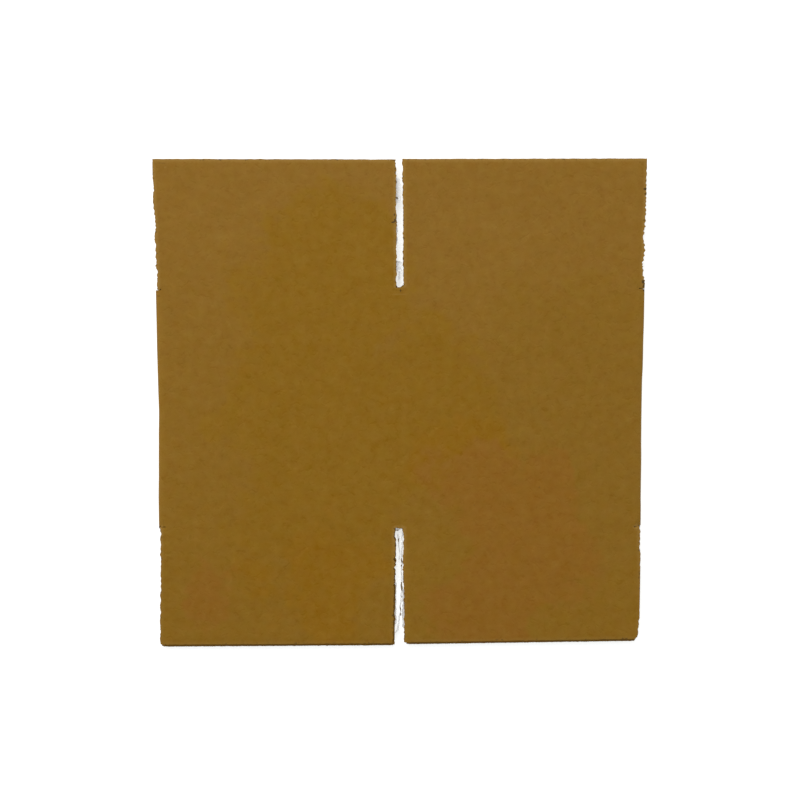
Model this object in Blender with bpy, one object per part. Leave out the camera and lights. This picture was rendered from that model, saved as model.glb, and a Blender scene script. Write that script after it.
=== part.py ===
"""Flattened corrugated cardboard box, one folded and glued sheet, in metres, +Z up.

The box lies flat with the outside of two panels facing up. The sheet turns back on itself
at a fold along each side, and its two ends meet in a glued joint in the middle of the back.
Flaps stand out above and below, cut apart by slots. The flutes run along Y, so their open
ends show at the tips of the flaps.
"""
import math

import bmesh
import bpy
from mathutils import Matrix, Vector

# Corrugated board
BOARD = 0.0030
LINER = 0.0004
MEDIUM = 0.00035
FLUTE_PITCH = 0.0064
WAVE_SHARES = (0.22, 0.36, 0.50, 0.64, 0.78)
WAVE_END_SHARE = 0.08

# Flattened box
PANEL_WIDTH = 0.1575
BODY_HEIGHT = 0.1570
LAYER_GAP = 0.0015
FOLD_STEPS = 10

# Flap lengths at the corner by the slot and at the outer one, cut a little out of square
TOP_LEFT_INNER = 0.0806
TOP_LEFT_OUTER = 0.0805
TOP_RIGHT_INNER = 0.0809
TOP_RIGHT_OUTER = 0.0817
BOTTOM_LEFT_INNER = 0.0772
BOTTOM_LEFT_OUTER = 0.0777
BOTTOM_RIGHT_INNER = 0.0766
BOTTOM_RIGHT_OUTER = 0.0748

# How far the back layer stands out past the front's bottom edge and back from the others
BACK_SHIFT = 0.0026
BACK_TRIM = 0.0006
BACK_REACH_AT_ROOT = 0.0006
BACK_REACH_AT_MOUTH = 0.0013

# Cut edges, crushed a little by the knife
LIP_WIDTH = 0.0013
LIP_DROP = 0.00025
LIP_OVERRUN_SHARE = 1.2
BACK_TIP_RADIUS = 0.0040
ARC_STEPS = 4

# Centre slots of the front, each wall from the centre line
TOP_SLOT_LEFT_ROOT = 0.0027
TOP_SLOT_LEFT_MOUTH = 0.0033
TOP_SLOT_RIGHT_ROOT = 0.0018
TOP_SLOT_RIGHT_MOUTH = 0.0010
BOTTOM_SLOT_LEFT_ROOT = 0.0035
BOTTOM_SLOT_LEFT_MOUTH = 0.0054
BOTTOM_SLOT_RIGHT_ROOT = 0.0016
BOTTOM_SLOT_RIGHT_MOUTH = 0.0022
SLOT_SHORT = 0.0006

# Outer edges of the flaps, from the outside of the fold beside them
TOP_ROOT_INSET = 0.0013
BOTTOM_ROOT_INSET = 0.0009
TOP_LEFT_TIP_INSET = -0.0010
TOP_RIGHT_TIP_INSET = -0.0002
BOTTOM_LEFT_TIP_INSET = -0.0004
BOTTOM_RIGHT_TIP_INSET = 0.0001
TOP_CORNER_CUT = 0.0018
BOTTOM_CORNER_CUT = 0.0003
CORNER_NICK = 0.0005
CORNER_GAP = 0.0005

# Scores and the crushed board beside them
SCORE_WIDTH = 0.0042
SCORE_DEPTH = 0.00022
SCORE_FLOOR_SHARE = 0.3
PRESS_BACK_SHARE = 0.33
CRUSHED_AT_FOLD = 0.0021
CRUSHED_AT_CENTRE = 0.0052

# Glued joint in the back
SEAM_GAP = 0.0016
TAB_WIDTH = 0.0330
TAB_HOLD = 0.0030
TAB_BOARD = 0.0012
TAB_TAPER = 0.0090
TAB_END_GAP = 0.0040
TAB_RADIUS = 0.0030
GLUE_SINK = 0.0001

# Look
KRAFT_COLOUR = (0.238, 0.119, 0.015, 1)
KRAFT_ROUGHNESS = 0.85

# Working values
OVERRUN = 0.0040
WELD = 0.000001
SNAP = 0.00001
FLAT_ANGLE = math.radians(0.5)

# Places that follow from the sizes above
STACK = BOARD + LAYER_GAP + BOARD
FOLD_RADIUS = STACK / 2 - LIP_DROP
FOLD_LINE = PANEL_WIDTH - FOLD_RADIUS
TOP_CREASE = BODY_HEIGHT / 2
BOTTOM_CREASE = -BODY_HEIGHT / 2
LEFT_FLAPS = (BOTTOM_LEFT_INNER, BOTTOM_LEFT_OUTER, TOP_LEFT_INNER, TOP_LEFT_OUTER)
RIGHT_FLAPS = (BOTTOM_RIGHT_INNER, BOTTOM_RIGHT_OUTER, TOP_RIGHT_INNER, TOP_RIGHT_OUTER)
FRONT_FLOOR = BOARD + LAYER_GAP


def clear_scene():
    for thing in list(bpy.data.objects):
        bpy.data.objects.remove(thing, do_unlink=True)


def new_collection(name):
    collection = bpy.data.collections.new(name)
    bpy.context.scene.collection.children.link(collection)
    return collection


def flat_curve(name, outlines, half_depth, collection):
    """A filled 2D curve through closed outlines, given a depth to each side."""
    curve = bpy.data.curves.new(name, "CURVE")
    curve.dimensions = "2D"
    curve.fill_mode = "BOTH"
    curve.extrude = half_depth
    for outline in outlines:
        spline = curve.splines.new("POLY")
        spline.points.add(len(outline) - 1)
        for point, (across, up) in zip(spline.points, outline):
            point.co = (across, up, 0, 1)
        spline.use_cyclic_u = True
    thing = bpy.data.objects.new(name, curve)
    collection.objects.link(thing)
    return thing


def solid_from(curve_object):
    """Turn a curve into a closed, welded mesh object in the same place."""
    bpy.context.view_layer.update()
    graph = bpy.context.evaluated_depsgraph_get()
    mesh = bpy.data.meshes.new_from_object(curve_object.evaluated_get(graph))
    mesh.transform(curve_object.matrix_world)
    build = bmesh.new()
    build.from_mesh(mesh)
    bmesh.ops.remove_doubles(build, verts=build.verts, dist=WELD)
    bmesh.ops.holes_fill(build, edges=build.edges)
    bmesh.ops.recalc_face_normals(build, faces=build.faces)
    build.to_mesh(mesh)
    build.free()
    solid = bpy.data.objects.new(curve_object.name + "_solid", mesh)
    for collection in curve_object.users_collection:
        collection.objects.link(solid)
    bpy.data.objects.remove(curve_object, do_unlink=True)
    return solid


def combine(target, tool, operation):
    """Apply a Boolean of the tool to the target and remove the tool."""
    modifier = target.modifiers.new(operation.title(), "BOOLEAN")
    modifier.operation = operation
    modifier.solver = "EXACT"
    modifier.object = tool
    bpy.context.view_layer.update()
    graph = bpy.context.evaluated_depsgraph_get()
    mesh = bpy.data.meshes.new_from_object(target.evaluated_get(graph))
    target.modifiers.clear()
    target.data = mesh
    bpy.data.objects.remove(tool, do_unlink=True)


def round_corners(corners):
    """Replace each corner that has a radius with an arc between its two edges."""
    outline = []
    for index, (across, up, radius) in enumerate(corners):
        here = Vector((across, up))
        if not radius:
            outline.append(here)
            continue
        back = (Vector(corners[index - 1][:2]) - here).normalized()
        ahead = (Vector(corners[(index + 1) % len(corners)][:2]) - here).normalized()
        half_angle = back.angle(ahead) / 2
        reach = radius / math.tan(half_angle)
        centre = here + (back + ahead).normalized() * (radius / math.sin(half_angle))
        start = here + back * reach - centre
        sweep = start.angle_signed(here + ahead * reach - centre)
        for step in range(ARC_STEPS + 1):
            turn = Matrix.Rotation(-sweep * step / ARC_STEPS, 2)
            outline.append(centre + turn @ start)
    return outline


def flute_voids(left, right):
    """Sections of the air in the flutes between two crushed margins."""
    count = int((right - left) / FLUTE_PITCH)
    start = (left + right - count * FLUTE_PITCH) / 2
    swing = BOARD / 2 - LINER - MEDIUM / 2
    shares = (WAVE_END_SHARE,) + WAVE_SHARES + (1 - WAVE_END_SHARE,)
    voids = []
    for row, shift, number in ((1, 0, count), (-1, FLUTE_PITCH / 2, count - 1)):
        for flute in range(number):
            outline = []
            for share in shares:
                wave = math.cos(2 * math.pi * share)
                if share in (shares[0], shares[-1]):
                    wave = 1
                across = start + shift + (flute + share) * FLUTE_PITCH
                outline.append((across, BOARD / 2 + row * (swing * wave + MEDIUM / 2)))
            voids.append(outline)
    return voids


def fluted_board(name, floor, collection):
    """A board across both panels, fluted along Y, with its underside at the given height."""
    reach = PANEL_WIDTH + OVERRUN
    edges = [(-reach, 0), (reach, 0), (reach, BOARD), (-reach, BOARD)]
    right = flute_voids(CRUSHED_AT_CENTRE, FOLD_LINE - CRUSHED_AT_FOLD)
    left = flute_voids(CRUSHED_AT_FOLD - FOLD_LINE, -CRUSHED_AT_CENTRE)
    half_length = BODY_HEIGHT / 2 + max(LEFT_FLAPS + RIGHT_FLAPS) + BACK_SHIFT + OVERRUN
    board = flat_curve(name, [edges] + left + right, half_length, collection)
    board.rotation_euler.x = math.radians(90)
    board.location.z = floor
    return solid_from(board)


def half_outline(side, slots, flaps, insets, trim, tip_radius):
    """Cut edge of one panel and its two flaps, from the bottom slot's root to the top one's.

    slots holds the bottom root, bottom mouth, top mouth and top root of the centre slots,
    flaps the lengths of the bottom flap and then the top one, inner and outer, insets those
    of the outer corners, and trim what comes off the outer edges of the flaps.
    """
    bottom_root, bottom_mouth, top_mouth, top_root = slots
    bottom_inner, bottom_outer, top_inner, top_outer = flaps
    bottom_inset, top_inset = insets
    low_end = BOTTOM_CREASE + BOTTOM_CORNER_CUT
    high_end = TOP_CREASE - TOP_CORNER_CUT
    low_edge = PANEL_WIDTH - BOTTOM_ROOT_INSET - trim
    high_edge = PANEL_WIDTH - TOP_ROOT_INSET - trim
    nick = FOLD_LINE - CORNER_NICK
    corners = [
        (bottom_root, BOTTOM_CREASE - SLOT_SHORT, 0),
        (bottom_mouth, BOTTOM_CREASE - bottom_inner, tip_radius),
        (PANEL_WIDTH - bottom_inset - trim, BOTTOM_CREASE - bottom_outer, tip_radius),
        (low_edge, low_end - CORNER_GAP, 0),
        (nick, low_end - CORNER_GAP, 0),
        (nick, low_end, 0),
        (FOLD_LINE, low_end, 0),
        (FOLD_LINE, high_end, 0),
        (nick, high_end, 0),
        (nick, high_end + CORNER_GAP, 0),
        (high_edge, high_end + CORNER_GAP, 0),
        (PANEL_WIDTH - top_inset - trim, TOP_CREASE + top_outer, tip_radius),
        (top_mouth, TOP_CREASE + top_inner, tip_radius),
        (top_root, TOP_CREASE + SLOT_SHORT, 0),
    ]
    outline = [(side * across, up, radius) for across, up, radius in corners]
    if side < 0:
        outline.reverse()
    return outline


def panel_outlines(bottom_reach, trim, tip_radius):
    """Outlines of the right and left half, each as a list of corners.

    bottom_reach holds how far the left wall of the bottom slot stands in past the front's,
    at its root and its mouth. The other walls stand back by trim.
    """
    reach_at_root, reach_at_mouth = bottom_reach
    right_slots = (
        BOTTOM_SLOT_RIGHT_ROOT + trim,
        BOTTOM_SLOT_RIGHT_MOUTH + trim,
        TOP_SLOT_RIGHT_MOUTH + trim,
        TOP_SLOT_RIGHT_ROOT + trim,
    )
    left_slots = (
        BOTTOM_SLOT_LEFT_ROOT - reach_at_root,
        BOTTOM_SLOT_LEFT_MOUTH - reach_at_mouth,
        TOP_SLOT_LEFT_MOUTH + trim,
        TOP_SLOT_LEFT_ROOT + trim,
    )
    right_insets = (BOTTOM_RIGHT_TIP_INSET, TOP_RIGHT_TIP_INSET)
    left_insets = (BOTTOM_LEFT_TIP_INSET, TOP_LEFT_TIP_INSET)
    right = half_outline(1, right_slots, RIGHT_FLAPS, right_insets, trim, tip_radius)
    left = half_outline(-1, left_slots, LEFT_FLAPS, left_insets, trim, tip_radius)
    return right, left


def knife_block(name, outlines, facing, collection):
    """Block that leaves the cut shape of one layer, with a crushed lip on its outer side."""
    rim = STACK / 2 - LIP_DROP
    block = flat_curve(name, outlines, rim / 2, collection)
    block.data.fill_mode = "NONE"
    block.location.z = STACK / 2 + facing * rim / 2
    block = solid_from(block)
    build = bmesh.new()
    build.from_mesh(block.data)
    lid = [face for face in build.faces if face.normal.z * facing > math.cos(FLAT_ANGLE)]
    bmesh.ops.inset_region(
        build,
        faces=lid,
        thickness=LIP_WIDTH * LIP_OVERRUN_SHARE,
        depth=LIP_DROP * LIP_OVERRUN_SHARE,
        use_even_offset=True,
    )
    build.to_mesh(block.data)
    build.free()
    return block


def front_layer(collection):
    right, left = panel_outlines((0, 0), 0, 0)
    block = knife_block("front_knife", [round_corners(right + left)], 1, collection)
    board = fluted_board("front", FRONT_FLOOR, collection)
    combine(board, block, "INTERSECT")
    return board


def back_layer(collection):
    """The two back panels, apart at the seam, a little lower than the front ones."""
    reach = (BACK_REACH_AT_ROOT, BACK_REACH_AT_MOUTH)
    halves = panel_outlines(reach, BACK_TRIM, BACK_TIP_RADIUS)
    outlines = []
    for side, half in zip((1, -1), halves):
        seam = side * SEAM_GAP / 2
        closing = [
            (seam, TOP_CREASE + SLOT_SHORT, 0),
            (seam, BOTTOM_CREASE - SLOT_SHORT, 0),
        ]
        if side < 0:
            closing.reverse()
        outlines.append(round_corners(half + closing))
    block = knife_block("back_knife", outlines, -1, collection)
    block.data.transform(Matrix.Translation((0, -BACK_SHIFT, 0)))
    board = fluted_board("back", 0, collection)
    combine(board, block, "INTERSECT")
    return board


def glue_tab(collection):
    """The tab of crushed board that joins the two back panels from inside."""
    top = TOP_CREASE - TAB_END_GAP
    bottom = BOTTOM_CREASE + TAB_END_GAP
    corners = [
        (-TAB_HOLD, bottom, 0),
        (TAB_WIDTH, bottom + TAB_TAPER, TAB_RADIUS),
        (TAB_WIDTH, top - TAB_TAPER, TAB_RADIUS),
        (-TAB_HOLD, top, 0),
    ]
    thickness = TAB_BOARD + GLUE_SINK
    tab = flat_curve("glue_tab", [round_corners(corners)], thickness / 2, collection)
    tab.location = (0, -BACK_SHIFT, BOARD - GLUE_SINK + thickness / 2)
    return solid_from(tab)


def score_bar(name, length, along_y, place, facing, collection):
    """Shallow bar that presses a score into a face, its flat side at the given place."""
    half = SCORE_WIDTH / 2
    floor = half * SCORE_FLOOR_SHARE
    back = LAYER_GAP * PRESS_BACK_SHARE
    outline = [
        (-half, 0),
        (-floor, -SCORE_DEPTH),
        (floor, -SCORE_DEPTH),
        (half, 0),
        (half, back),
        (-half, back),
    ]
    outline = [(across, facing * up) for across, up in outline]
    bar = flat_curve(name, [outline], length / 2, collection)
    bar.rotation_euler = (math.radians(90), 0, 0 if along_y else math.radians(90))
    bar.location = place
    return solid_from(bar)


def press_scores(box, collection):
    """Flap creases on both faces of both layers, and the centre score of the front."""
    across = 2 * (FOLD_LINE - LIP_WIDTH)
    upright = BODY_HEIGHT - SCORE_WIDTH - 2 * SLOT_SHORT
    faces = (
        (STACK, 1, 0),
        (FRONT_FLOOR, -1, 0),
        (BOARD, 1, -BACK_SHIFT),
        (0, -1, -BACK_SHIFT),
    )
    bars = []
    for height, facing, shift in faces:
        for crease in (TOP_CREASE, BOTTOM_CREASE):
            place = (0, crease + shift, height)
            bars.append(score_bar("crease", across, False, place, facing, collection))
    for height, facing, shift in faces[:2]:
        bars.append(score_bar("centre_score", upright, True, (0, 0, height), facing, collection))
    build = bmesh.new()
    for bar in bars:
        build.from_mesh(bar.data)
    press = bars[0]
    build.to_mesh(press.data)
    build.free()
    for bar in bars[1:]:
        bpy.data.objects.remove(bar, do_unlink=True)
    combine(box, press, "DIFFERENCE")


def fold_sides(front, back):
    """Turn the front's two side edges round to meet the back's, as the folded scores do."""
    build = bmesh.new()
    build.from_mesh(front.data)
    build.from_mesh(back.data)
    fluted = [face for face in build.faces if abs(face.normal.y) > math.cos(FLAT_ANGLE)]
    bmesh.ops.triangulate(build, faces=fluted)
    ends = {}
    for face in build.faces:
        if abs(face.normal.x) > math.cos(FLAT_ANGLE):
            middle = face.calc_center_median()
            if abs(abs(middle.x) - FOLD_LINE) < SNAP:
                key = (middle.x > 0, middle.z > STACK / 2)
                ends.setdefault(key, []).append(face)
    for right in (True, False):
        side = 1 if right else -1
        start = ends[(right, True)]
        edges = {edge for face in start for edge in face.edges}
        verts = {vert for face in start for vert in face.verts}
        result = bmesh.ops.spin(
            build,
            geom=list(verts) + list(edges) + start,
            cent=(side * FOLD_LINE, 0, STACK / 2),
            axis=(0, side, 0),
            dvec=(0, -BACK_SHIFT / FOLD_STEPS, 0),
            angle=math.pi,
            steps=FOLD_STEPS,
        )
        met = [item for item in result["geom_last"] if isinstance(item, bmesh.types.BMFace)]
        bmesh.ops.delete(build, geom=met + ends[(right, False)], context="FACES_ONLY")
    bmesh.ops.remove_doubles(build, verts=build.verts, dist=SNAP)
    bmesh.ops.recalc_face_normals(build, faces=build.faces)
    build.to_mesh(front.data)
    build.free()
    bpy.data.objects.remove(back, do_unlink=True)
    return front


def kraft_board():
    material = bpy.data.materials.new("kraft_board")
    material.use_nodes = True
    shader = material.node_tree.nodes["Principled BSDF"]
    shader.inputs["Base Color"].default_value = KRAFT_COLOUR
    shader.inputs["Roughness"].default_value = KRAFT_ROUGHNESS
    shader.inputs["Metallic"].default_value = 0
    material.diffuse_color = KRAFT_COLOUR
    return material


def centre_on_base(box):
    """Put the origin at the bottom centre of the box that holds the part."""
    points = [vert.co for vert in box.data.vertices]
    low = Vector([min(point[axis] for point in points) for axis in range(3)])
    high = Vector([max(point[axis] for point in points) for axis in range(3)])
    middle = (low + high) / 2
    box.data.transform(Matrix.Translation((-middle.x, -middle.y, -low.z)))


clear_scene()
parts = new_collection("flattened_cardboard_box")
box = fold_sides(front_layer(parts), back_layer(parts))
combine(box, glue_tab(parts), "UNION")
press_scores(box, parts)
box.name = "folded_box_blank"
box.data.name = "folded_box_blank"
centre_on_base(box)
box.data.materials.clear()
box.data.materials.append(kraft_board())
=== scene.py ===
"""Flattened corrugated cardboard box on a pale floor, seen from above."""

import math

import bmesh
import bpy
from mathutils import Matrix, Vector, kdtree, noise


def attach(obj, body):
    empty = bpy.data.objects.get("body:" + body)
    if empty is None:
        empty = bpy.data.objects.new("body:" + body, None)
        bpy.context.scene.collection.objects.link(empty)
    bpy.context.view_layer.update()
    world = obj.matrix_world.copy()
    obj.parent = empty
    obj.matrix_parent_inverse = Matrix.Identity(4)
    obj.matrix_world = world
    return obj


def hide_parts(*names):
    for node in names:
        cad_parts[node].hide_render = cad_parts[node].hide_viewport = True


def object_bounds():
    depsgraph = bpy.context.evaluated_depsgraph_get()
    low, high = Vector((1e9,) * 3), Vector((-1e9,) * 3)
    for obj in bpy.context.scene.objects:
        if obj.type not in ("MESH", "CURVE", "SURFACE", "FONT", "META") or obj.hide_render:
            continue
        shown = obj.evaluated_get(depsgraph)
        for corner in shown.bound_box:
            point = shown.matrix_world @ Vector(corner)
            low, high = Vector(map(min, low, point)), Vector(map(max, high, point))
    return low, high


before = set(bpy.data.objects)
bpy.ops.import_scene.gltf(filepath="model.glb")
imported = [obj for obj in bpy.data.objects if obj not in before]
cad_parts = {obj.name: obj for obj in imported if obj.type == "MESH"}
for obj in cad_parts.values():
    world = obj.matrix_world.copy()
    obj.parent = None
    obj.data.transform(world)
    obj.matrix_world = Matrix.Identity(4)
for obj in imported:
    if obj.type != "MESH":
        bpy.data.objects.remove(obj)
cad_low, cad_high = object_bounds()

# The box blank. It is one sheet of brown single-wall board, folded round at the sides and
# glued to itself behind. A toothed knife cut its edges, which it left ragged, and the stack
# that the box lay in pressed its creases flat. The cuts, folds and layers of the solid:
MILLIMETRE = 0.001
WELD = 0.000001
FLAT_ANGLE = math.radians(0.3)
SMOOTH_ANGLE = math.radians(25)
UPRIGHT = 0.3
LYING = 0.9
FLAT = 0.99
ALONG_SIDE = 0.5
TOP = cad_high.z
ROOT_TOP = 0.07695
ROOT_BOTTOM = -0.07845
BACK_ROOT_TOP = 0.0758
BACK_ROOT_BOTTOM = -0.0811
SLOT_END_TOP = 0.0797
SLOT_END_BOTTOM = -0.0823
FOLD_START = 0.1530
NICK_END = 0.1545
SLOT_REACH = 0.0090
TIP_REACH = 0.1505
FACE_DEPTH = 0.0004
BACK_TOP = 0.0032

# Spacing of the cuts that give the edges and faces enough points to be shaped
EDGE_STEP = 0.0008
TIP_STEP = 0.0013
BACK_TIP_STEP = 0.0007
FACE_STEP = 0.0070

# Marks of the knife: depth from tooth point to hollow, and the lumps between marks
TOOTH_PITCH = 0.0030
TIP_TOOTH_PITCH = 0.0014
TOOTH_LEFT_TOP = 0.00050
TOOTH_RIGHT_TOP = 0.00105
TOOTH_BOTTOM = 0.00026
TOOTH_SLOT = 0.00040
TOOTH_TIP = 0.00007
TOOTH_BACK_TIP = 0.00020
BACK_TIP_LUMP_SHARE = 0.15
TOOTH_MEAN_SHARE = 0.64
TOOTH_JITTER_SHARE = 1.3
LUMP_SIZE = 0.0034
LUMP_DEPTH = 0.00080
CUT_REACH = 0.0026
DISTANCE_LIMIT = 0.0090

# Where the knife wandered and the folds stand out: place along the edge, and how far out
LEFT_TOP_EDGE = (
    (78, 0.1), (86, -0.1), (92, 0.6), (98, 0.2), (105, 0.4), (110, 0.7), (114, -0.1),
    (120, -0.3), (133, 0.9), (139, 0), (145, 0.4), (157, 0.4),
)
RIGHT_TOP_EDGE = (
    (77, 1.9), (80, 1.8), (81.5, 1.5), (82.5, 0.4), (86, 0), (92, -0.7), (98, 0.2), (104, 0.3),
    (108, -0.3), (116, 0), (127, 0.3), (140, 0.6), (145, -0.4), (150, 0), (158, 0.5),
)
LEFT_BOTTOM_EDGE = ((-154, 0.1), (-130, 0), (-117, -0.2), (-97, -0.1), (-85, 0), (-80, 0.5))
RIGHT_BOTTOM_EDGE = (
    (-154, -0.8), (-147, -0.6), (-142, 0.3), (-138, 0.8), (-127, 1.2), (-110, 1.0),
    (-100, 0.6), (-88, 0.4), (-80, 0.8),
)
LEFT_FOLD = (
    (-78, 0.8), (-60, 0.8), (-42, 0.4), (-20, 0.1), (-4, -0.3),
    (12, 0), (24, 0.2), (40, 0.4), (77, 0.6),
)
RIGHT_FOLD = (
    (-78, 1.0), (-50, 0.5), (-36, 0.4), (-22, 0.1), (-4, 0),
    (16, 0), (28, 0.4), (60, 0.9), (77, 1.0),
)
TOP_SLOT_LEFT = ((78, -0.3), (100, -0.3), (112, -0.1), (155, -0.1), (157, -0.35), (159, -0.1))
BOTTOM_SLOT_LEFT = (
    (-119, 0), (-118, -0.7), (-117, 0), (-108.2, 0), (-107, -1.1), (-105.8, 0),
    (-101.4, 0), (-100.3, -0.8), (-99.2, 0), (-88, 0), (-86.5, -1), (-83, -1), (-81.5, -0.2),
)
BOTTOM_SLOT_RIGHT = ((-142, -0.45), (-122, -0.45), (-108, -0.1), (-90, 0), (-85, -0.4), (-82, 0))
TOP_SLOT_ROOT = ((-2.4, -1.6), (0.2, -1.1), (1.6, 0.2))
FOLD_MOVE_START = 0.1200

# The fold's upper end is levelled where it slants down to the lower back layer
BACK_DROP = 0.0026
LEVEL_START = 0.0028
LEVEL_REACH = 0.0010
LEVEL_LOW = 0.0640
LEVEL_SPREAD = 0.0080

# The flaps' corners close the nicks beside the folds and bend down with the fold
NICK_CLOSE_TOP = 0.0014
NICK_CLOSE_BOTTOM = 0.0005
NICK_REACH = 0.0040
BEND_REACH = 0.0050
BEND_SHARE = 2
LEFT_STEP_DROP = 0.0014
LEFT_STEP_REACH = 0.0060
STEP_SIDE_START = 0.1525
STEP_SIDE_REACH = 0.0010

# The lower corners: how far the front's are rubbed, and how much the back's stay cut off
FRONT_CORNER_LEFT = 0.0003
FRONT_CORNER_RIGHT = 0.0016
FRONT_CORNER_REACH = 0.0026
BACK_CORNER = 0.0042
BACK_CORNER_LEFT = 0.20
BACK_CORNER_RIGHT = 0.40
BACK_CORNER_BLEND = 0.0060
TIP_START = 0.1500
TIP_SAMPLE = 0.0200

# Pressed creases, flattened by the stack that the box lay in, and the sag of the faces
CREASE_PLACES = (0.0778, -0.0792)
CREASE_HALF = 0.0025
CREASE_KEEP = 0.10
FACE_SAG = 0.00006
SAG_SIZE = 0.0450
SAG_MIDDLE = 0.5


def slice_faces(build, faces, axis, places):
    """Cut faces across an axis at every place, from the middle out, so each cut meets few."""
    if not faces or not places:
        return
    middle = len(places) // 2
    point = Vector()
    point[axis] = places[middle]
    across = Vector()
    across[axis] = 1
    edges = {edge for face in faces for edge in face.edges}
    verts = {vert for face in faces for vert in face.verts}
    cut = bmesh.ops.bisect_plane(
        build, geom=list(verts) + list(edges) + faces, dist=WELD, plane_co=point, plane_no=across
    )
    pieces = [item for item in cut["geom"] if isinstance(item, bmesh.types.BMFace)]
    below = [face for face in pieces if face.calc_center_bounds()[axis] < places[middle]]
    above = [face for face in pieces if face.calc_center_bounds()[axis] >= places[middle]]
    slice_faces(build, below, axis, places[:middle])
    slice_faces(build, above, axis, places[middle + 1:])


def steps(start, end, step):
    """Even places from a start to an end, about a step apart."""
    count = max(1, round((end - start) / step))
    return [start + (end - start) * index / count for index in range(count + 1)]


def ease(value):
    """Smooth rise from 0 to 1 as a value goes from 0 to 1, and level outside."""
    value = min(1, max(0, value))
    return value * value * (3 - 2 * value)


def past_root(at):
    """Whether a point is on a flap. The back layer's roots are lower than the front's."""
    if at.z > TOP / 2:
        return at.y > ROOT_TOP or at.y < ROOT_BOTTOM
    return at.y > BACK_ROOT_TOP or at.y < BACK_ROOT_BOTTOM


def near_slot_root(at):
    """Whether a point is in the inner end of a slot."""
    return abs(at.x) < SLOT_REACH and past_root(at) and SLOT_END_BOTTOM < at.y < SLOT_END_TOP


def pick(build, rule):
    """The faces whose middle and normal fit a rule."""
    return [face for face in build.faces if rule(face.calc_center_bounds(), face.normal)]


def on_outside(at, way):
    """Whether a face lies on the front or the back of the folded box."""
    return abs(way.z) > LYING and min(at.z, TOP - at.z) < FACE_DEPTH


build = bmesh.new()
build.from_mesh(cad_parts["folded_box_blank"].data)
build.verts.layers.float.new("edge_distance")
build.verts.layers.float.new("fold_distance")
bmesh.ops.remove_doubles(build, verts=build.verts, dist=WELD)
flat_edges = [
    edge for edge in build.edges
    if not all(abs(face.normal.y) > math.cos(FLAT_ANGLE) for face in edge.link_faces)
]
bmesh.ops.dissolve_limit(build, angle_limit=FLAT_ANGLE, verts=build.verts, edges=flat_edges)
for axis, places in (
    (0, [-FOLD_START, -SLOT_REACH, SLOT_REACH, FOLD_START]),
    (1, [-TIP_REACH, ROOT_BOTTOM, ROOT_TOP, TIP_REACH]),
):
    slice_faces(build, list(build.faces), axis, places)
for axis, reach in ((0, FOLD_START), (1, TIP_REACH)):
    slice_faces(build, pick(build, on_outside), axis, steps(-reach, reach, FACE_STEP))
folds = pick(build, lambda at, way: abs(at.x) > FOLD_START and not past_root(at))
slice_faces(build, folds, 1, steps(-TIP_REACH, TIP_REACH, FACE_STEP))
for start, end in ((cad_low.y, ROOT_BOTTOM), (ROOT_TOP, cad_high.y)):
    long_edges = pick(
        build,
        lambda at, way: start < at.y < end
        and (abs(at.x) > FOLD_START or abs(at.x) < SLOT_REACH),
    )
    slice_faces(build, long_edges, 1, steps(start, end, EDGE_STEP))
roots = pick(build, lambda at, way: near_slot_root(at))
slice_faces(build, roots, 0, steps(-SLOT_REACH, SLOT_REACH, EDGE_STEP))
tips = pick(build, lambda at, way: abs(at.y) > TIP_REACH and not (at.y < 0 and at.z < BACK_TOP))
slice_faces(build, tips, 0, steps(cad_low.x, cad_high.x, TIP_STEP))
back_tips = pick(build, lambda at, way: at.y < -TIP_REACH and at.z < BACK_TOP)
slice_faces(build, back_tips, 0, steps(cad_low.x, cad_high.x, BACK_TIP_STEP))


def is_cut_wall(at, way):
    """Whether an upright face is one of the flaps' cut edges or the end of a slot."""
    if abs(way.z) > UPRIGHT or not past_root(at):
        return False
    if abs(way.x) > abs(way.y):
        return abs(at.x) > NICK_END or abs(at.x) < SLOT_REACH
    return abs(at.y) > TIP_REACH or near_slot_root(at)


wall_way = {}
for face in pick(build, is_cut_wall):
    for vert in face.verts:
        out = Vector((face.normal.x, face.normal.y, 0)).normalized()
        wall_way[vert] = wall_way.get(vert, Vector()) + out
wall_verts = list(wall_way)
nearest = kdtree.KDTree(len(wall_verts))
for index, vert in enumerate(wall_verts):
    nearest.insert(vert.co, index)
nearest.balance()


def along(line, place):
    """Eased height of a line of (place, height) pairs, which are in millimetres."""
    place /= MILLIMETRE
    if place <= line[0][0]:
        return line[0][1] * MILLIMETRE
    for (start, low), (end, high) in zip(line, line[1:]):
        if place < end:
            return (low + (high - low) * ease((place - start) / (end - start))) * MILLIMETRE
    return line[-1][1] * MILLIMETRE


def tooth(place, pitch):
    """Depth of the edge along one mark of the knife, from 0 at its points to 1 between."""
    return math.sin(math.pi * (place / pitch % 1))


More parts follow.
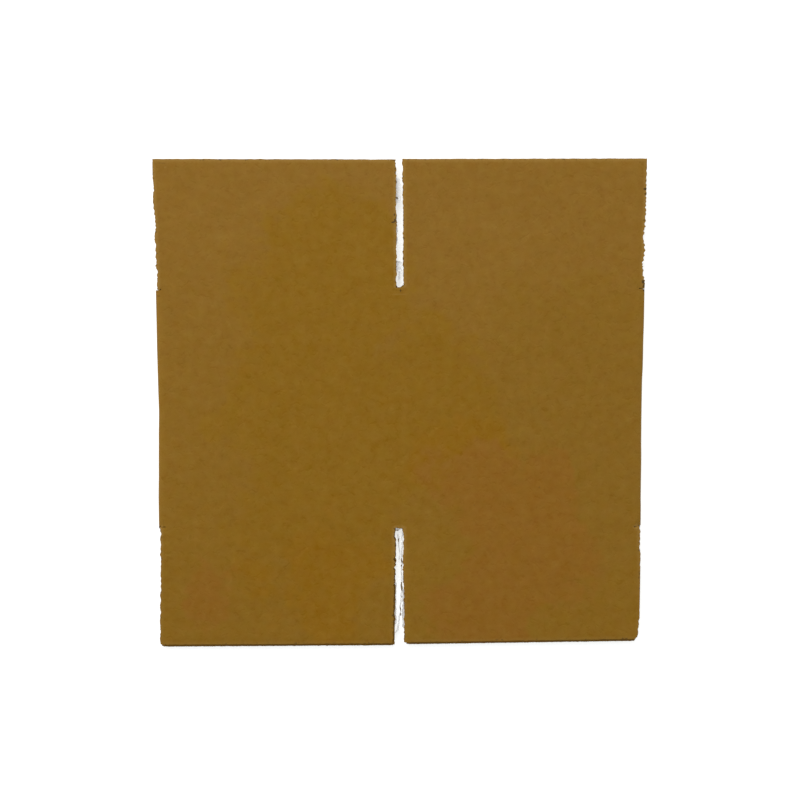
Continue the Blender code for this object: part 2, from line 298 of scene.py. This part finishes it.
def cut_out(point, way):
    """How far a cut edge stands out from the straight cut, at a point of it."""
    front, left = point.z > TOP / 2, point.x < 0
    lumps = LUMP_DEPTH * noise.noise(point / LUMP_SIZE)
    vary = 1 + noise.noise(point / (2 * LUMP_SIZE))
    jitter = TOOTH_JITTER_SHARE * noise.noise(point / TOOTH_PITCH / 2)
    place = point.x + point.y + TOOTH_PITCH * (jitter + front / 2)
    pitch, wander = TOOTH_PITCH, 0
    if abs(way.y) > abs(way.x):
        size, pitch = TOOTH_TIP, TIP_TOOTH_PITCH
        if abs(point.y) < TIP_REACH:
            wander = along(TOP_SLOT_ROOT, point.x) if point.y > 0 else 0
        elif point.y < 0 and not front:
            size = TOOTH_BACK_TIP
            lumps *= BACK_TIP_LUMP_SHARE
        else:
            lumps *= TOOTH_TIP / TOOTH_BOTTOM
    elif abs(point.x) < SLOT_REACH:
        size = TOOTH_SLOT
        if point.y < 0:
            wander = along(BOTTOM_SLOT_LEFT if left else BOTTOM_SLOT_RIGHT, point.y)
        elif left:
            wander = along(TOP_SLOT_LEFT, point.y)
    elif point.y < 0:
        size = TOOTH_BOTTOM
        wander = along(LEFT_BOTTOM_EDGE if left else RIGHT_BOTTOM_EDGE, point.y)
    else:
        size = TOOTH_LEFT_TOP if left else TOOTH_RIGHT_TOP
        wander = along(LEFT_TOP_EDGE if left else RIGHT_TOP_EDGE, point.y)
    return wander + lumps - size * vary * (tooth(place, pitch) - TOOTH_MEAN_SHARE)


tip_places = {}
for front in (False, True):
    for right in (False, True):
        rim = [
            vert.co for vert in build.verts
            if vert.co.y < -TIP_START and (vert.co.z > TOP / 2, vert.co.x > 0) == (front, right)
        ]
        side = max(abs(at.x) for at in rim)
        tip_places[front, right] = (
            min(at.y for at in rim if abs(at.x) < TIP_SAMPLE),
            min(at.y for at in rim if abs(at.x) > side - TIP_SAMPLE),
            min(abs(at.x) for at in rim),
            side,
        )


def corner_move(point):
    """Shift near the lower corners: the front's outer ones are rubbed, the back's filled."""
    front, right = point.z > TOP / 2, point.x > 0
    inner, outer, mouth, side = tip_places[front, right]
    above = point.y - inner - (outer - inner) * abs(point.x) / side
    if front:
        rub = ease(1 - above / FRONT_CORNER_REACH)
        rub *= ease(1 - (side - abs(point.x)) / FRONT_CORNER_REACH)
        rub *= FRONT_CORNER_RIGHT if right else FRONT_CORNER_LEFT
        return Vector((-math.copysign(rub / 2, point.x), rub, 0))
    if min(side - abs(point.x), abs(point.x) - mouth) > BACK_CORNER or point.z > BACK_TOP:
        return Vector()
    share = 1 - ease((above - BACK_CORNER) / BACK_CORNER_BLEND)
    keep = BACK_CORNER_RIGHT if right else BACK_CORNER_LEFT
    return Vector((0, -min(max(0, above), BACK_CORNER) * (1 - keep) * share, 0))


def fold_move(point):
    """Shift of the panels' sides and folds, which stand out unevenly and end level."""
    out = along(LEFT_FOLD if point.x < 0 else RIGHT_FOLD, point.y)
    weight = ease((abs(point.x) - FOLD_MOVE_START) / (FOLD_START - FOLD_MOVE_START))
    move = Vector((out * weight * math.copysign(1, point.x), 0, 0))
    if abs(point.x) > FOLD_START:
        turned = math.acos(min(1, max(-1, 2 * point.z / TOP - 1))) / math.pi
        level = ease((point.z - LEVEL_START) / LEVEL_REACH)
        move.y = BACK_DROP * turned * level * ease((point.y - LEVEL_LOW) / LEVEL_SPREAD)
    return move


def nick_move(point):
    """Shift of the front flaps' corners, which close the nicks and bend down."""
    past = min(abs(point.y - ROOT_TOP), abs(point.y - ROOT_BOTTOM))
    close = -NICK_CLOSE_TOP if point.y > 0 else NICK_CLOSE_BOTTOM
    over = max(0, abs(point.x) - cad_high.x + TOP / 2)
    bend = TOP / 2 - math.sqrt(max(0, (TOP / 2) ** 2 - over ** 2))
    drop = BEND_SHARE * bend * ease(1 - past / BEND_REACH)
    return Vector((0, close * ease(1 - past / NICK_REACH), -drop))


def face_move(point):
    """Shift of the front and back faces: the creases are pressed flat, the rest sags."""
    depth = min(point.z, TOP - point.z)
    facing = 1 if point.z > TOP / 2 else -1
    near = min(abs(point.y - place) for place in CREASE_PLACES)
    pressed = depth if near < CREASE_HALF and abs(point.x) < FOLD_START else 0
    sag = FACE_SAG * (SAG_MIDDLE + noise.noise(Vector((point.x, point.y, 0)) / SAG_SIZE))
    raised = pressed * (1 - CREASE_KEEP) - max(0, sag) * (1 - depth / FACE_DEPTH)
    return Vector((0, 0, facing * raised))


edge_layer = build.verts.layers.float.get("edge_distance")
fold_layer = build.verts.layers.float.get("fold_distance")
moves = {}
for vert in build.verts:
    point = vert.co
    found, index, distance = nearest.find(point)
    vert[edge_layer] = min(distance, DISTANCE_LIMIT)
    vert[fold_layer] = DISTANCE_LIMIT
    if past_root(point):
        way = wall_way[wall_verts[index]].normalized()
        move = way * (cut_out(found, way) * ease(1 - distance / CUT_REACH))
        if point.z > TOP / 2 and abs(point.x) > FOLD_START:
            move += nick_move(point)
    else:
        move = fold_move(point)
        vert[fold_layer] = min(DISTANCE_LIMIT, cad_high.x - abs(point.x))
    weight = ease(1 - abs(point.y - ROOT_TOP) / LEFT_STEP_REACH)
    move.y -= LEFT_STEP_DROP * weight * ease((-point.x - STEP_SIDE_START) / STEP_SIDE_REACH)
    if point.y < -TIP_START + BACK_CORNER_BLEND:
        move += corner_move(point)
    if min(point.z, TOP - point.z) < FACE_DEPTH:
        move += face_move(point)
    moves[vert] = move
for vert, move in moves.items():
    vert.co += move
    vert.co.x = min(cad_high.x, max(cad_low.x, vert.co.x))
    vert.co.y = min(cad_high.y, max(cad_low.y, vert.co.y))

bmesh.ops.recalc_face_normals(build, faces=build.faces)
for face in build.faces:
    middle = face.calc_center_bounds()
    between = abs(face.normal.z) > FLAT and abs(middle.z - TOP / 2) < MILLIMETRE
    bent = abs(middle.x) > FOLD_START + MILLIMETRE and not past_root(middle)
    bent = bent and abs(face.normal.y) < ALONG_SIDE
    face.material_index = 0 if on_outside(middle, face.normal) or between or bent else 1


def choose(piece):
    """Make a piece the active one, and the only one selected."""
    bpy.ops.object.select_all(action="DESELECT")
    bpy.context.view_layer.objects.active = piece
    piece.select_set(True)


def mesh_piece(name, build):
    """Turn a built mesh into a piece, and choose it."""
    mesh = bpy.data.meshes.new(name)
    build.to_mesh(mesh)
    build.free()
    piece = bpy.data.objects.new(name, mesh)
    bpy.context.scene.collection.objects.link(piece)
    choose(piece)
    return piece


blank = mesh_piece("corrugated_blank", build)
blank.data.attributes.remove(blank.data.attributes["custom_normal"])
bpy.ops.object.shade_smooth_by_angle(angle=SMOOTH_ANGLE)


class Wire:
    """A shader socket. Sums and products of wires and numbers add Math nodes."""

    def __init__(self, socket):
        self.socket = socket

    def node(self, kind, settings, inputs, output=0):
        """Add a node to the wire's tree, set it up, fill its inputs and give its output."""
        made = self.socket.id_data.nodes.new(kind)
        for name, value in settings.items():
            setattr(made, name, value)
        for name, value in inputs.items():
            if isinstance(value, Wire):
                self.socket.id_data.links.new(value.socket, made.inputs[name])
            else:
                made.inputs[name].default_value = value
        return Wire(made.outputs[output])

    def math(self, operation, first, second):
        return self.node("ShaderNodeMath", {"operation": operation}, {0: first, 1: second})

    def __add__(self, other):
        return self.math("ADD", self, other)

    def __sub__(self, other):
        return self.math("SUBTRACT", self, other)

    def __rsub__(self, other):
        return self.math("SUBTRACT", other, self)

    def __mul__(self, other):
        return self.math("MULTIPLY", self, other)

    __radd__ = __add__
    __rmul__ = __mul__

    def ramp(self, low, high, start=0, end=1):
        """Eased rise from start to end as this wire goes from low to high."""
        settings = {"interpolation_type": "SMOOTHSTEP"}
        inputs = {0: self, 1: low, 2: high, 3: start, 4: end}
        return self.node("ShaderNodeMapRange", settings, inputs)

    def grain(self, size, detail=0, rough=0.5, shift=0):
        """Noise about zero in these coordinates, with grains of a size across, up and deep."""
        scale = tuple(1 / length for length in size)
        inputs = {"Vector": self, "Scale": scale, "Location": (shift, shift, shift)}
        place = self.node("ShaderNodeMapping", {}, inputs)
        inputs = {"Vector": place, "Scale": 1, "Detail": detail, "Roughness": rough}
        return self.node("ShaderNodeTexNoise", {}, inputs) - 0.5

    def distance(self, point):
        """How far these coordinates are from a point."""
        settings = {"operation": "DISTANCE"}
        return self.node("ShaderNodeVectorMath", settings, {0: self, 1: point}, "Value")

    def moved(self, other):
        """This colour or vector plus another."""
        return self.node("ShaderNodeVectorMath", {"operation": "ADD"}, {0: self, 1: other})

    def times(self, vector):
        """This number times a colour or vector."""
        settings = {"operation": "SCALE"}
        return self.node("ShaderNodeVectorMath", settings, {0: vector, "Scale": self})

    def between(self, first, second):
        """The colour that goes from the first to the second as this factor goes from 0 to 1."""
        settings = {"data_type": "RGBA"}
        return self.node("ShaderNodeMix", settings, {0: self, 6: first, 7: second}, 2)


def new_finish(name, roughness):
    """A material, its shader node, and the piece's own coordinates."""
    material = bpy.data.materials.new(name)
    material.use_nodes = True
    shader = material.node_tree.nodes["Principled BSDF"]
    shader.inputs["Roughness"].default_value = roughness
    shader.inputs["Specular IOR Level"].default_value = SPECULAR
    start = Wire(shader.inputs["Roughness"])
    return material, shader, start.node("ShaderNodeTexCoord", {}, {}, "Object")


def lay(wire, shader, name):
    """Link a wire to an input of a shader."""
    wire.socket.id_data.links.new(wire.socket, shader.inputs[name])


def strokes(place, cell, shift):
    """Short curved strokes of fibre: parts of the borders between bent cells."""
    inputs = {"Vector": place, "Scale": 1 / cell, "Detail": 1}
    bend = place.node("ShaderNodeTexNoise", {}, inputs, "Color")
    inputs = {0: bend, "Scale": FIBRE_BEND * cell}
    bend = bend.node("ShaderNodeVectorMath", {"operation": "SCALE"}, inputs)
    inputs = {"Vector": place.moved(bend), "Scale": 1 / cell}
    settings = {"feature": "DISTANCE_TO_EDGE"}
    border = place.node("ShaderNodeTexVoronoi", settings, inputs, "Distance") * cell
    here = place.grain((cell * FIBRE_PATCH,) * 3, shift=shift).ramp(*FIBRE_SPARSE)
    return border.ramp(FIBRE_WIDTH / 2, FIBRE_WIDTH * FIBRE_SOFT, 1, 0) * here


def spots(place, rows, uneven):
    """Round areas with uneven rims, from rows of across, up and radius in millimetres."""
    found = None
    for across, up, radius in rows:
        centre = (across * MILLIMETRE, up * MILLIMETRE, TOP)
        inside = radius * MILLIMETRE - place.distance(centre)
        found = inside if found is None else found.math("MAXIMUM", found, inside)
    return (found + uneven).ramp(-SPOT_SOFT, SPOT_SOFT)


# The liner paper: brown kraft with short fibres, uneven in tone, pale where it is worn, with a
# painted sheen above and painted shade below
SPECULAR = 0.12
PAPER_ROUGH = 0.8
KRAFT = (0.2500, 0.1262, 0.0135, 1)
KRAFT_PAINTED_SHEEN = (0.2530, 0.1275, 0.0165, 1)
KRAFT_GREY = (0.2440, 0.1240, 0.0125, 1)
KRAFT_PAINTED_SHADE = (0.2457, 0.1238, 0.0107, 1)
KRAFT_DEEP = (0.2462, 0.1227, 0.0082, 1)
KRAFT_ROSE = (0.2548, 0.1147, 0.0116, 1)
KRAFT_ORANGE = (0.2533, 0.1199, 0.0060, 1)
KRAFT_WORN = (0.3000, 0.1660, 0.0330, 1)
KRAFT_FOLD_SHEEN = (0.3800, 0.2700, 0.1200, 1)
KRAFT_DARK = (0.0580, 0.0350, 0.0130, 1)
SHADE = (0.248, 0.167, 0.048)
WARMTH = (0, -0.0190, -0.0040)
BLUENESS = (0, 0, 0.0075)
WARMTH_SIZE = 0.0070
BLUENESS_SIZE = 0.0080
PAINTED_SHEEN_HEIGHTS = (0.000, 0.130)
PAINTED_SHADE_HEIGHTS = (-0.120, 0.010)
SPOT_SOFT = 0.0070
SPOT_WIDE = 0.10
SPOT_DRIFT = 0.03
SPOT_CLOUD = 0.012
DEEP_SPOTS = ((-48, 66, 54), (-52, 3, 65), (20, 8, 52), (-52, -62, 54), (-37, 104, 32))
GREY_SPOTS = ((110, 10, 70), (120, -60, 50))
ROSE_SPOTS = ((82, -104, 42), (58, -62, 27), (96, -52, 16), (58, -136, 34), (-118, -134, 20))
ORANGE_SPOTS = ((46, -33, 24), (-50, -112, 32), (-92, -122, 18))
CLOUD_SIZE = 0.0060
CLOUD_SHARE = 0.16
PATCH_SIZE = (0.0036, 0.0028, 0.0028)
PATCH_SHARE = 0.07
PATCH_RIM = (0.12, 0.26)
PATCH_DARK = 0.05
PATCH_LIGHT = 0.04
WIDE_SIZE = 0.060
WIDE_SHARE = 0.05
DRIFT_SIZE = 0.013
DRIFT_SHARE = 0.07
FOLD_PAINTED_LIGHT = 0.06
FOLD_PAINTED_LIGHT_REACH = (0.0010, 0.0080)
FIBRE_WIDTH = 0.00034
FIBRE_SOFT = 1.6
FIBRE_BEND = 1.2
FIBRE_PATCH = 0.7
FIBRE_SPARSE = (0.09, 0.17)
RELIEF_STEP = 0.0007
BUMP_STRENGTH = 0.25
BUMP_DEPTH = 0.0001

# Fibres: how far up they lie, their share of the tone, the size of their cells and a shift.
# The first row is the shaded side of pressed-in strokes, as painted shade, and the second row is
# their lit side, as painted light.
FIBRES = (
    (0, -0.08, 0.0058, 7),
    (RELIEF_STEP, 0.05, 0.0058, 7),
    (0, 0.04, 0.0070, 11),
    (0, -0.05, 0.0044, 17),
)

# Marks: across, up, half width and half height in millimetres, turn in degrees, and strength,
# which is below zero for a dark mark and above zero for a pale one
MARK_DEPTH = 0.0080
MARK_RIM = (0.6, 1.2)
MARKS = (
    (-25.0, 52.8, 0.4, 0.4, 0, 0.60),
    (-70.6, 134.5, 0.4, 0.4, 0, 0.55),
    (106.7, 58.1, 0.5, 0.4, 0, -0.30),
    (90.9, -52.8, 0.5, 0.5, 0, -0.30),
    (48.4, -64.6, 0.5, 0.4, 0, -0.25),
    (-4.4, 118.7, 1.5, 0.55, 12, -0.90),
    (-3.6, 119.9, 0.55, 1.1, 0, -0.90),
    (-3.8, 123.4, 0.55, 0.9, 0, -0.75),
    (0.1, 75.0, 0.4, 1.2, 0, -0.65),
    (1.8, 78.7, 1.0, 0.6, 20, -0.75),
    (-2.6, 77.2, 0.5, 0.6, 0, -0.60),
    (-0.5, 72.6, 5.5, 0.5, 0, 0.40),
    (156.9, 80.8, 1.2, 1.4, 20, -0.85),
    (157.5, 78.3, 1.0, 1.2, 0, -0.75),
    (157.6, 75.6, 0.9, 1.1, 0, -0.80),
    (155.6, 76.4, 1.2, 0.7, 0, 0.50),
    (157.2, 140.1, 1.3, 0.8, 0, -0.90),
    (157.4, 137.0, 0.9, 0.7, 0, -0.75),
    (156.8, 120.2, 0.8, 0.6, 0, -0.55),
    (-155.4, 71.3, 1.2, 0.4, 0, -0.45),
    (-152.1, 155.6, 2.6, 0.3, 0, -0.25),
    (-149.8, 153.0, 0.9, 0.7, 20, 0.50),
)

liner, shader, place = new_finish("kraft_liner", PAPER_ROUGH)
upward = place.node("ShaderNodeSeparateXYZ", {}, {0: place}, "Y")
deep = place.node("ShaderNodeSeparateXYZ", {}, {0: place}, "Z")
edge = place.node("ShaderNodeAttribute", {"attribute_name": "edge_distance"}, {}, "Fac")
fold = place.node("ShaderNodeAttribute", {"attribute_name": "fold_distance"}, {}, "Fac")
cloud = place.grain((CLOUD_SIZE,) * 3, detail=1, rough=0.55)
patches = place.grain(PATCH_SIZE, shift=3)
wide = place.grain((WIDE_SIZE,) * 3, detail=2, rough=0.6, shift=5)
drift = place.grain((DRIFT_SIZE,) * 3, detail=2, rough=0.6, shift=23)
tone = CLOUD_SHARE * cloud + PATCH_SHARE * patches + WIDE_SHARE * wide + DRIFT_SHARE * drift
tone = tone - PATCH_DARK * patches.ramp(*PATCH_RIM)
tone = tone + PATCH_LIGHT * (0 - patches).ramp(*PATCH_RIM)
for lift, share, cell, shift in FIBRES:
    tone = tone + share * strokes(place.moved((0, lift, 0)), cell, shift)
# Painted light near the folds, where the paper curves away from the lamp and would lie in shade
tone = tone + fold.ramp(*FOLD_PAINTED_LIGHT_REACH, FOLD_PAINTED_LIGHT, 0)
uneven = SPOT_WIDE * wide + SPOT_DRIFT * drift + SPOT_CLOUD * cloud
# Painted light and shade: the paper is paler and bluer towards the top, as a painted sheen from the
# lamp, and darker towards the bottom, as painted shade
colour = upward.ramp(*PAINTED_SHEEN_HEIGHTS).between(KRAFT, KRAFT_PAINTED_SHEEN)
colour = upward.ramp(*PAINTED_SHADE_HEIGHTS, 1, 0).between(colour, KRAFT_PAINTED_SHADE)
for rows, tint in (
    (GREY_SPOTS, KRAFT_GREY),
    (DEEP_SPOTS, KRAFT_DEEP),
    (ORANGE_SPOTS, KRAFT_ORANGE),
    (ROSE_SPOTS, KRAFT_ROSE),
):
    colour = spots(place, rows, uneven).between(colour, tint)
colour = colour.moved(place.grain((WARMTH_SIZE,) * 3, detail=1, shift=29).times(WARMTH))
colour = colour.moved(place.grain((BLUENESS_SIZE,) * 3, detail=1, shift=31).times(BLUENESS))
colour = colour.moved(tone.times(SHADE))

# Worn lips beside the cuts, painted paler towards the top as painted light, painted sheen on
# the outer line of the folds, dark burrs and marks, and the shade under the lower edge
BURR_SIZE = 0.0016
BURR_RISE = (0.10, 0.24)
BURR_REACH = (0.0004, 0.0016)
BURR_SHARE = 0.7
WORN_RAGGED = 0.0016
WORN_REACH = (0.0006, 0.0028)
WORN_LIT_HEIGHTS = (-0.115, -0.080)
WORN_LIT_SHARES = (0.3, 0.8)
FOLD_SHEEN_RAGGED = 0.0006
FOLD_SHEEN_REACH = (0.0002, 0.0013)
FOLD_SHEEN_SHARE = 0.8
UNDER_HEIGHTS = (0.0028, 0.0036)
UNDER_EDGE = (-0.1560, -0.1500)
UNDER_SHARE = 0.28
burr = place.grain((BURR_SIZE,) * 3, detail=1, shift=13)
worn = (edge + WORN_RAGGED * burr).ramp(*WORN_REACH, 1, 0)
# The lips' wear is real, but it is painted paler towards the top, where the lamp lights them, and
# weaker towards the bottom, as painted shade
colour = (worn * upward.ramp(*WORN_LIT_HEIGHTS, *WORN_LIT_SHARES)).between(colour, KRAFT_WORN)
# Painted sheen: the outer line of the folds is painted pale, as a grazing reflection
fold_sheen = (fold + FOLD_SHEEN_RAGGED * burr).ramp(*FOLD_SHEEN_REACH, 1, 0)
colour = (fold_sheen * FOLD_SHEEN_SHARE).between(colour, KRAFT_FOLD_SHEEN)
dark = BURR_SHARE * burr.ramp(*BURR_RISE) * edge.ramp(*BURR_REACH, 1, 0)
pale = None
for across, up, half_width, half_height, turn, strength in MARKS:
    inputs = {
        "Vector": place,
        "Location": (across * MILLIMETRE, up * MILLIMETRE, TOP),
        "Rotation": (0, 0, math.radians(turn)),
        "Scale": (half_width * MILLIMETRE, half_height * MILLIMETRE, MARK_DEPTH),
    }
    spot = place.node("ShaderNodeMapping", {"vector_type": "TEXTURE"}, inputs)
    spot = abs(strength) * spot.distance((0, 0, 0)).ramp(*MARK_RIM, 1, 0)
    if strength < 0:
        dark = dark.math("MAXIMUM", dark, spot)
    else:
        pale = spot if pale is None else pale.math("MAXIMUM", pale, spot)
colour = pale.between(colour, KRAFT_WORN)
under = deep.ramp(*UNDER_HEIGHTS, UNDER_SHARE, 0) * upward.ramp(*UNDER_EDGE, 1, 0)
dark = dark.math("MAXIMUM", dark, under)
colour = dark.between(colour, KRAFT_DARK)
lay(colour, shader, "Base Color")
bump = {"Height": cloud + patches, "Strength": BUMP_STRENGTH, "Distance": BUMP_DEPTH}
lay(place.node("ShaderNodeBump", {}, bump), shader, "Normal")

# The cut edges and the waved paper inside, a duller brown with fibres standing out
CUT_BROWN = (0.150, 0.082, 0.022, 1)
CUT_PALE = (0.270, 0.170, 0.070, 1)
CUT_ROUGH = 0.95
CUT_SIZE = 0.0008
CUT_RISE = (-0.1, 0.2)
CUT_BUMP_STRENGTH = 0.5
CUT_BUMP_DEPTH = 0.0002
cut_board, shader, place = new_finish("cut_board", CUT_ROUGH)
ragged = place.grain((CUT_SIZE,) * 3, detail=2, rough=0.7)
lay(ragged.ramp(*CUT_RISE).between(CUT_BROWN, CUT_PALE), shader, "Base Color")
bump = {"Height": ragged, "Strength": CUT_BUMP_STRENGTH, "Distance": CUT_BUMP_DEPTH}
lay(place.node("ShaderNodeBump", {}, bump), shader, "Normal")

blank.data.materials.clear()
blank.data.materials.append(liner)
blank.data.materials.append(cut_board)
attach(blank, "root")
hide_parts("folded_box_blank")

# Pale grey sheets in the slots, put where the floor lies in shade: painted shade. They hang
# on the walls of the slots, mostly at the height of the back layer.
FLAKE_STEP = 0.0006
FLAKE_TAPER = 0.0015
FLAKE_BLUNT = 0.15
FLAKE_RAGGED = 0.0006
FLAKE_GRAIN = 0.0011
FLAKE_CURL = 0.0005
FLAKE_BOARD = 0.0002
FLAKE_SMOOTH = math.radians(35)
FLAKE_SHARES = (0, 0.3, 0.6, 0.85, 1)
FLAKES = (
    (-4.3, -0.1, 130.5, 147.5, 3.8),
    (-4.1, -1.9, 104.0, 118.0, 3.8),
    (-3.6, 0.9, 86.8, 94.5, 3.8),
    (-1.2, -0.3, 81.6, 88.0, 3.0),
    (-2.9, 0.9, -81.9, -78.6, 3.9),
    (3.4, 1.5, -148.0, -121.0, 1.8),
    (-5.6, -2.4, -146.0, -116.0, 1.7),
)
SHADE_PAPER_PALE = (0.93, 0.95, 0.97, 1)
SHADE_PAPER_GREY = (0.81, 0.82, 0.82, 1)
SHADE_PAPER_GLOW = 0.13
TORN_ROUGH = 0.95
FLUFF_SIZE = 0.0012
FLUFF_RISE = (-0.15, 0.15)


def flake(build, left, right, low, high, height):
    """A thin ragged sheet from one side, where it is fixed, to the other, curled a little."""
    grid = []
    for up in steps(low, high, FLAKE_STEP):
        torn = FLAKE_RAGGED * noise.noise(Vector((left, up, height)) / FLAKE_GRAIN)
        width = ease(min(up - low, high - up) / FLAKE_TAPER + FLAKE_BLUNT)
        reach = (right - left) * width + torn
        line = []
        for share in FLAKE_SHARES:
            lift = FLAKE_CURL * (share ** 2 + noise.noise(Vector((share, up / FLAKE_TAPER / 2, 0))))
            line.append(build.verts.new((left + reach * share, up, height + lift)))
        grid.append(line)
    for line, after in zip(grid, grid[1:]):
        for corners in zip(line, line[1:], after[1:], after):
            build.faces.new(corners)


build = bmesh.new()
for row in FLAKES:
    flake(build, *(length * MILLIMETRE for length in row))
flakes = mesh_piece("shade_flakes", build)
thick = flakes.modifiers.new("thickness", "SOLIDIFY")
thick.thickness = FLAKE_BOARD
thick.offset = 0
bpy.ops.object.modifier_apply(modifier=thick.name)
bpy.ops.object.shade_smooth_by_angle(angle=FLAKE_SMOOTH)

# Their material is pale grey and glows a little: painted shade with painted light, as pale as
# shaded floor
painted_shade_paper, shader, place = new_finish("painted_shade_paper", TORN_ROUGH)
fluff = place.grain((FLUFF_SIZE,) * 3, detail=2, rough=0.7)
lay(fluff.ramp(*FLUFF_RISE).between(SHADE_PAPER_GREY, SHADE_PAPER_PALE), shader, "Base Color")
shader.inputs["Emission Color"].default_value = SHADE_PAPER_PALE
shader.inputs["Emission Strength"].default_value = SHADE_PAPER_GLOW
flakes.data.materials.append(painted_shade_paper)
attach(flakes, "root")

# Pale grey threads in the slots, put where streaks of shade lie on the floor: painted shade.
# They lie along the slots, caught on the walls.
THREAD_SIDES = 1
THREAD_ORDER = 3
THREAD_CUTS = 3
SWAY_SEED = 1
STRING_STEP = 0.0013
STRING_SWAY = 0.0007
STRING_SWELL = 1.1
STRING_UNEVEN = 2
STRING_TAPER = 0.7
STRING_RADIUS = 0.42
STRING_HEIGHT = 3.0
STRINGS = (
    ((1.8, -83.5), (1.2, -86.0), (1.1, -93.0), (0.8, -98.0), (1.2, -104.0), (1.0, -112.0)),
    ((1.0, -111.0), (1.2, -119.0), (0.9, -124.0), (0.1, -134.0), (-0.1, -139.0)),
    ((0.0, -137.0), (-1.0, -143.0), (-1.3, -147.0), (-3.0, -151.0)),
    ((-1.4, -84.0), (-0.9, -90.0), (-0.3, -97.5), (-0.8, -103.0)),
)


def threads(name, routes, radius, height, looseness):
    """Uneven threads along flat routes in millimetres, as one meshed piece."""
    curve = bpy.data.curves.new(name, "CURVE")
    curve.dimensions = "3D"
    curve.bevel_depth = radius * MILLIMETRE
    curve.bevel_resolution = THREAD_SIDES
    curve.use_fill_caps = True
    for route in routes:
        points = []
        for (across, up), (next_across, next_up) in zip(route, route[1:]):
            aside, ahead = next_across - across, next_up - up
            for share in steps(0, 1, STRING_STEP / MILLIMETRE / abs(ahead))[:-1]:
                points.append((across + aside * share, up + ahead * share))
        points.append(route[-1])
        spline = curve.splines.new("NURBS")
        spline.points.add(len(points) - 1)
        spline.order_u = THREAD_ORDER
        spline.use_endpoint_u = True
        spline.resolution_u = THREAD_CUTS
        for index, (across, up) in enumerate(points):
            at = Vector((across, up, radius))
            sway = looseness * STRING_SWAY / MILLIMETRE * noise.noise_vector(at)
            spot = Vector((across, up, height)) + sway
            spline.points[index].co = (*(spot * MILLIMETRE), 1)
            spline.points[index].radius = 1 + STRING_SWELL * noise.noise(at * STRING_UNEVEN)
        spline.points[0].radius = spline.points[-1].radius = 1 - STRING_TAPER * looseness
    piece = bpy.data.objects.new(name, curve)
    bpy.context.scene.collection.objects.link(piece)
    choose(piece)
    bpy.ops.object.convert(target="MESH")
    bpy.ops.object.shade_smooth()
    return bpy.context.object


noise.seed_set(SWAY_SEED)
# The threads use the glowing pale grey material of the sheets: painted shade
strings = threads("shade_strings", STRINGS, STRING_RADIUS, STRING_HEIGHT, 1)
strings.data.materials.append(painted_shade_paper)
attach(strings, "root")

# Fibre knots. They are short tufts of brown paper fibre that the knife rolled up, and they
# cling to the pale grey threads and to the walls of the slots, near the top.
KNOTS = (
    ((-3.1, 134.9), (-2.2, 133.9), (-1.4, 134.5)),
    ((0.9, -100.6), (1.0, -103.0)),
    ((1.0, -104.6), (0.9, -105.8)),
    ((0.9, -116.5), (1.1, -119.0), (1.0, -122.0)),
    ((0.3, -133.4), (0.4, -135.2)),
    ((0.4, -137.0), (0.3, -138.6)),
    ((-1.0, -87.2), (-0.9, -89.4)),
)
KNOT_RADIUS = 0.48
KNOT_HEIGHT = 4.3
KNOT_LOOSENESS = 0.3
KNOT_PALE = (0.34, 0.27, 0.17, 1)
KNOT_BROWN = (0.16, 0.11, 0.05, 1)
KNOT_GRAIN = 0.0008
knotted_fibre, shader, place = new_finish("knotted_fibre", TORN_ROUGH)
fluff = place.grain((KNOT_GRAIN,) * 3, detail=2, rough=0.7)
lay(fluff.ramp(*FLUFF_RISE).between(KNOT_BROWN, KNOT_PALE), shader, "Base Color")
knots = threads("fibre_knots", KNOTS, KNOT_RADIUS, KNOT_HEIGHT, KNOT_LOOSENESS)
knots.data.materials.append(knotted_fibre)
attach(knots, "root")

# The floor. It is a white sheet, lit well past the paper's own white.
FLOOR_SIZE = 6.0
FLOOR_WHITE = (0.7, 0.7, 0.7, 1)
FLOOR_ROUGH = 0.9
FLOOR_GLOW = (0.965, 1, 1, 1)
FLOOR_GLOW_STRENGTH = 0.62
bpy.ops.mesh.primitive_plane_add(size=FLOOR_SIZE, location=(0, 0, cad_low.z))
floor = bpy.context.object
floor.name = "floor"
white = bpy.data.materials.new("white_floor")
white.use_nodes = True
shader = white.node_tree.nodes["Principled BSDF"]
shader.inputs["Base Color"].default_value = FLOOR_WHITE
shader.inputs["Roughness"].default_value = FLOOR_ROUGH
shader.inputs["Emission Color"].default_value = FLOOR_GLOW
shader.inputs["Emission Strength"].default_value = FLOOR_GLOW_STRENGTH
floor.data.materials.append(white)

# Studio light: a wide lamp beyond the top of the box, and even light from all round.
KEY_SIZE = 1.2
KEY_PLACE = (-0.45, 1.40, 1.25)
KEY_POWER = 21.9
ROOM_LIGHT = 0.6
world = bpy.data.worlds.new("studio")
world.use_nodes = True
world.node_tree.nodes["Background"].inputs["Color"].default_value = (1, 1, 1, 1)
world.node_tree.nodes["Background"].inputs["Strength"].default_value = ROOM_LIGHT
bpy.context.scene.world = world
bpy.ops.object.light_add(type="AREA", location=KEY_PLACE)
key = bpy.context.object
key.name = "key_light"
key.data.size = KEY_SIZE
key.data.energy = KEY_POWER
key.rotation_euler = (-Vector(KEY_PLACE)).to_track_quat("-Z", "Y").to_euler()
bpy.context.scene.view_settings.view_transform = "Standard"

# The camera, over the upper half of the box and looking down, a little out of level.
CAMERA_PLACE = (-0.0105, 0.05595, 0.7261)
CAMERA_TURN = (math.radians(-4.11), math.radians(-0.82), math.radians(0.05))
LENS = 50
SENSOR = 36
bpy.ops.object.camera_add(location=CAMERA_PLACE, rotation=CAMERA_TURN)
camera = bpy.context.object
camera.data.lens = LENS
camera.data.sensor_width = SENSOR
bpy.context.scene.camera = camera
